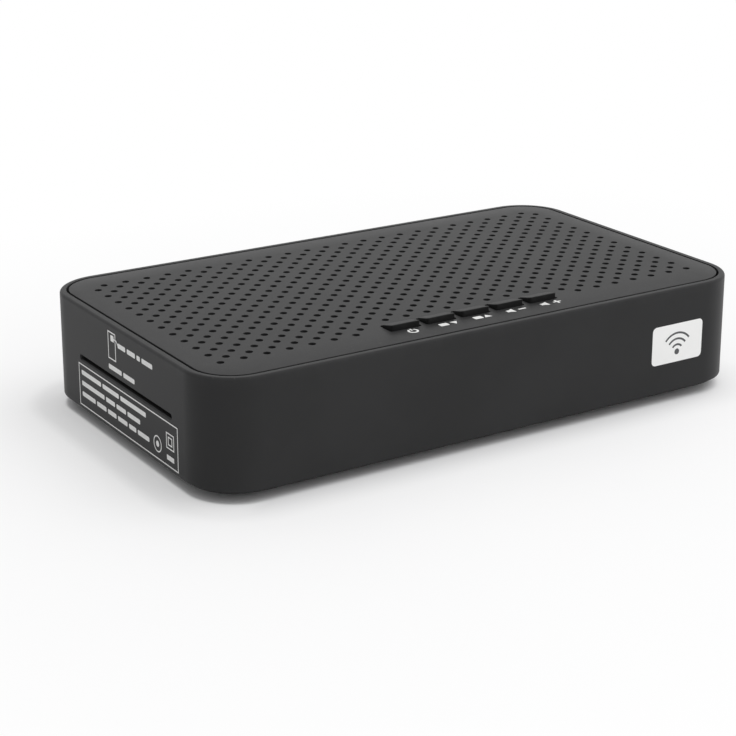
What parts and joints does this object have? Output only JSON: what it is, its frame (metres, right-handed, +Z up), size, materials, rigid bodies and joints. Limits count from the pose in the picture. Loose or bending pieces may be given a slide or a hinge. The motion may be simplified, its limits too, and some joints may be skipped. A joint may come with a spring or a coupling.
{
  "type": "satellite television receiver",
  "caption": "Flat free-standing satellite television receiver with a perforated lid, raised push keys, a side card slot and rear sockets.",
  "frame": {"origin": "centre of the bounding box in plan, on the surface that the rubber feet stand on", "axes": "+X to the right along the front, +Y from the front to the rear sockets, +Z up"},
  "size_m": [0.1806, 0.1146, 0.0364],
  "materials": {
    "case_plastic": "fine moulded texture, matt black",
    "key_plastic": "fine moulded texture, matt black",
    "rubber": "matt",
    "socket_plastic": "moulded, satin black",
    "switch_cream": "moulded, satin",
    "insulator_white": "waxy white",
    "board_green": "solder resist over glass laminate",
    "chip_black": "moulded resin, matt",
    "tin_plate": "tinned sheet, satin",
    "nickel": "nickel plating",
    "zinc_screw": "dark zinc plating",
    "sink_aluminium": "extruded, clear anodised",
    "contact_gold": "gold-plated contacts",
    "lamp_red": "red lens resin"
  },
  "bodies": {
    "case": {"housing": "case_plastic", "top_panel": "case_plastic", "base_plate": "case_plastic", "foot_front_left": "rubber", "foot_front_right": "rubber", "foot_rear_left": "rubber", "foot_rear_right": "rubber", "case_screw_front_left": "zinc_screw", "case_screw_front_right": "zinc_screw", "case_screw_rear_left": "zinc_screw", "case_screw_rear_right": "zinc_screw", "board_screw_front_left": "zinc_screw", "board_screw_front_right": "zinc_screw", "board_screw_rear_left": "zinc_screw", "board_screw_rear_right": "zinc_screw", "key_board_screw_left": "zinc_screw", "key_board_screw_right": "zinc_screw", "switch_power": "chip_black", "switch_channel_down": "chip_black", "switch_channel_up": "chip_black", "switch_volume_down": "chip_black", "switch_volume_up": "chip_black", "main_board": "board_green", "key_board": "board_green", "board_link": "chip_black", "reader_frame": "socket_plastic", "reader_contacts": "contact_gold", "reader_cover": "tin_plate", "antenna_socket": "nickel", "antenna_insulator": "insulator_white", "antenna_washer": "nickel", "antenna_nut": "nickel", "tuner_can": "tin_plate", "audio_socket": "socket_plastic", "audio_sleeve": "nickel", "av_jack": "socket_plastic", "hdmi_socket": "tin_plate", "usb_socket": "tin_plate", "power_jack": "socket_plastic", "power_pin": "nickel", "processor": "chip_black", "heat_sink": "sink_aluminium", "memory_chip": "chip_black", "capacitor_1": "tin_plate", "capacitor_2": "tin_plate", "inductor": "chip_black", "crystal": "tin_plate", "infrared_eye": "chip_black", "standby_lamp": "lamp_red"},
    "power_key": {"key_power": "key_plastic", "plunger_power": "switch_cream"},
    "channel_down_key": {"key_channel_down": "key_plastic", "plunger_channel_down": "switch_cream"},
    "channel_up_key": {"key_channel_up": "key_plastic", "plunger_channel_up": "switch_cream"},
    "volume_down_key": {"key_volume_down": "key_plastic", "plunger_volume_down": "switch_cream"},
    "volume_up_key": {"key_volume_up": "key_plastic", "plunger_volume_up": "switch_cream"}
  },
  "joints": [
    {"name": "power_press", "type": "slide", "parent": "case", "child": "power_key", "axis": [0, 0, -1], "range_m": [0, 0.0006], "stiffness_N_per_m": 2500},
    {"name": "channel_down_press", "type": "slide", "parent": "case", "child": "channel_down_key", "axis": [0, 0, -1], "range_m": [0, 0.0006], "stiffness_N_per_m": 2500},
    {"name": "channel_up_press", "type": "slide", "parent": "case", "child": "channel_up_key", "axis": [0, 0, -1], "range_m": [0, 0.0006], "stiffness_N_per_m": 2500},
    {"name": "volume_down_press", "type": "slide", "parent": "case", "child": "volume_down_key", "axis": [0, 0, -1], "range_m": [0, 0.0006], "stiffness_N_per_m": 2500},
    {"name": "volume_up_press", "type": "slide", "parent": "case", "child": "volume_up_key", "axis": [0, 0, -1], "range_m": [0, 0.0006], "stiffness_N_per_m": 2500}
  ]
}
